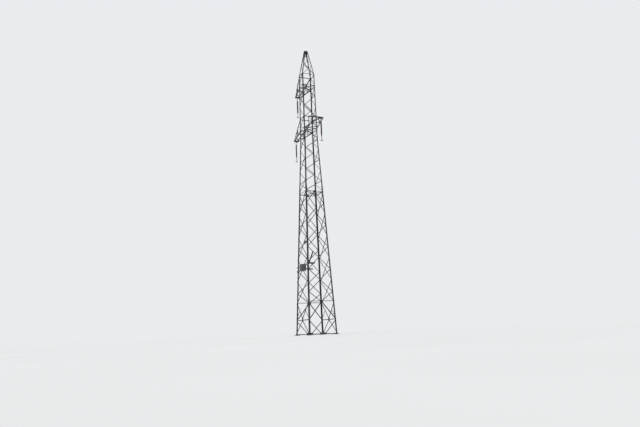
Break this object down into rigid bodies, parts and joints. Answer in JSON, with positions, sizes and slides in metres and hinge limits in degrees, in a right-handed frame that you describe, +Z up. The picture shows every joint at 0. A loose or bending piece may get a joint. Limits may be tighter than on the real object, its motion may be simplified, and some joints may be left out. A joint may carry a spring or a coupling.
{
  "type": "lattice transmission pylon",
  "caption": "Slender lattice pylon of angle steel with staggered cross-arms, an earth-wire peak and suspension insulator strings that swing.",
  "frame": {"origin": "centre of the underside of the base plate of leg 1 (the -X, -Y leg)", "axes": "+Z up, +X along the overhead line, +Y along the cross-arms towards the side with the two arms"},
  "size_m": [2.9055, 6.352, 25.82],
  "materials": {
    "galvanised_steel": "weathered galvanised, dull",
    "forged_fittings": "weathered galvanised forgings, dull",
    "porcelain": "glossy brown glaze",
    "box_paint": "matt grey paint"
  },
  "bodies": {
    "tower": {"back_head_bracing": "galvanised_steel", "back_lower_bracing": "galvanised_steel", "back_upper_bracing": "galvanised_steel", "base_plates": "galvanised_steel", "box_rails": "galvanised_steel", "earth_wire_head": "galvanised_steel", "equipment_box": "box_paint", "equipment_box_door": "box_paint", "far_arm_bracing": "galvanised_steel", "far_arm_chords": "galvanised_steel", "far_arm_end_bar": "galvanised_steel", "front_head_bracing": "galvanised_steel", "front_lower_bracing": "galvanised_steel", "front_upper_bracing": "galvanised_steel", "head_legs": "galvanised_steel", "junction_box": "box_paint", "left_head_bracing": "galvanised_steel", "left_lower_bracing": "galvanised_steel", "left_upper_bracing": "galvanised_steel", "lower_legs": "galvanised_steel", "near_arm_bracing": "galvanised_steel", "near_arm_chords": "galvanised_steel", "near_arm_end_bar": "galvanised_steel", "peak_bracing": "galvanised_steel", "peak_legs": "galvanised_steel", "plan_bracing": "galvanised_steel", "right_head_bracing": "galvanised_steel", "right_lower_bracing": "galvanised_steel", "right_upper_bracing": "galvanised_steel", "slanted_strap": "galvanised_steel", "upper_arm_bracing": "galvanised_steel", "upper_arm_chords": "galvanised_steel", "upper_arm_end_bar": "galvanised_steel", "upper_legs": "galvanised_steel"},
    "string_1_link": {"string_1_shackle": "forged_fittings"},
    "string_1": {"string_1_fittings": "forged_fittings", "string_1_insulator": "porcelain"},
    "string_2_link": {"string_2_shackle": "forged_fittings"},
    "string_2": {"string_2_fittings": "forged_fittings", "string_2_insulator": "porcelain"},
    "string_3_link": {"string_3_shackle": "forged_fittings"},
    "string_3": {"string_3_fittings": "forged_fittings", "string_3_insulator": "porcelain"},
    "earth_clamp": {"earth_wire_clamp": "forged_fittings"}
  },
  "joints": [
    {"name": "string_1_side_swing", "type": "hinge", "parent": "tower", "child": "string_1_link", "pos_m": [1.18, 4.04208, 22.18457], "axis": [1, 0, 0], "range_deg": [-45, 45]},
    {"name": "string_1_line_swing", "type": "hinge", "parent": "string_1_link", "child": "string_1", "pos_m": [1.18, 4.04208, 22.04657], "axis": [0, 1, 0], "range_deg": [-40, 40]},
    {"name": "string_2_side_swing", "type": "hinge", "parent": "tower", "child": "string_2_link", "pos_m": [1.18, -1.43808, 17.99957], "axis": [1, 0, 0], "range_deg": [-45, 45]},
    {"name": "string_2_line_swing", "type": "hinge", "parent": "string_2_link", "child": "string_2", "pos_m": [1.18, -1.43808, 17.86157], "axis": [0, 1, 0], "range_deg": [-40, 40]},
    {"name": "string_3_side_swing", "type": "hinge", "parent": "tower", "child": "string_3_link", "pos_m": [1.18, 4.76208, 17.99957], "axis": [1, 0, 0], "range_deg": [-45, 45]},
    {"name": "string_3_line_swing", "type": "hinge", "parent": "string_3_link", "child": "string_3", "pos_m": [1.18, 4.76208, 17.86157], "axis": [0, 1, 0], "range_deg": [-40, 40]},
    {"name": "earth_clamp_swing", "type": "hinge", "parent": "tower", "child": "earth_clamp", "pos_m": [1.18, 1.462, 25.73], "axis": [1, 0, 0], "range_deg": [-14, 14]}
  ]
}
